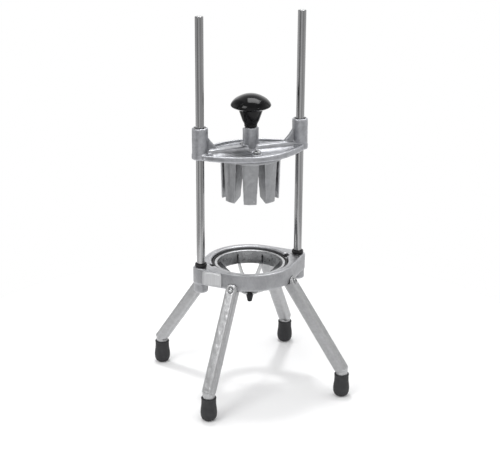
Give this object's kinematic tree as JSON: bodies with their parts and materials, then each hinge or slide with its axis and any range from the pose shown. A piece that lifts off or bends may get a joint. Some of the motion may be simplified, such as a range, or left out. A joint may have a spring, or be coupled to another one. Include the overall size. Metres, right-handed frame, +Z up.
{
  "type": "fruit and vegetable wedger",
  "caption": "Bench-top wedger: a hand-pushed head with fingers slides on two guide rods and presses produce through a ring of radial blades on four raked legs.",
  "frame": {"origin": "on the table, under the middle of the blade opening", "axes": "+Z up along the guide rods, +X from the left guide rod to the right one, front towards -Y"},
  "size_m": [0.1846, 0.1846, 0.4409],
  "materials": {
    "cast_aluminium": "satin sand-cast aluminium, lightly bead-blasted",
    "polished_aluminium": "bright semi-polished cast aluminium",
    "pusher_aluminium": "satin cast aluminium",
    "ring_aluminium": "machined aluminium",
    "rod_steel": "drawn and polished stainless steel rod",
    "blade_steel": "ground stainless steel",
    "hub_steel": "dark machined steel",
    "screw_steel": "stainless steel screws",
    "plate_aluminium": "satin blank plate",
    "knob_phenolic": "gloss black moulded phenolic",
    "bushing_plastic": "natural acetal",
    "foot_rubber": "matte dark grey rubber",
    "seal_rubber": "black rubber"
  },
  "bodies": {
    "stand": {"base_casting": "cast_aluminium", "leg_front_left": "cast_aluminium", "leg_front_right": "cast_aluminium", "leg_rear_right": "cast_aluminium", "leg_rear_left": "cast_aluminium", "leg_screw_front_left": "screw_steel", "leg_screw_front_right": "screw_steel", "leg_screw_rear_right": "screw_steel", "leg_screw_rear_left": "screw_steel", "foot_front_left": "foot_rubber", "foot_front_right": "foot_rubber", "foot_rear_right": "foot_rubber", "foot_rear_left": "foot_rubber", "guide_rod_left": "rod_steel", "rod_screw_left": "screw_steel", "rod_bumper_left": "seal_rubber", "cartridge_screw_left": "screw_steel", "guide_rod_right": "rod_steel", "rod_screw_right": "screw_steel", "rod_bumper_right": "seal_rubber", "cartridge_screw_right": "screw_steel", "blade_ring": "ring_aluminium", "blade_1": "blade_steel", "blade_2": "blade_steel", "blade_3": "blade_steel", "blade_4": "blade_steel", "blade_5": "blade_steel", "blade_6": "blade_steel", "blade_7": "blade_steel", "blade_8": "blade_steel", "blade_hub": "hub_steel", "blade_gasket": "seal_rubber", "name_plate": "plate_aluminium"},
    "pusher_head": {"head_casting": "polished_aluminium", "pusher_block": "pusher_aluminium", "pusher_screw_front": "screw_steel", "pusher_screw_rear": "screw_steel", "guide_bushing_left": "bushing_plastic", "guide_bushing_right": "bushing_plastic", "knob": "knob_phenolic", "knob_stud": "screw_steel"}
  },
  "joints": [
    {"name": "head_slide", "type": "slide", "parent": "stand", "child": "pusher_head", "axis": [0, 0, 1], "range_m": [-0.124, 0.123]}
  ]
}
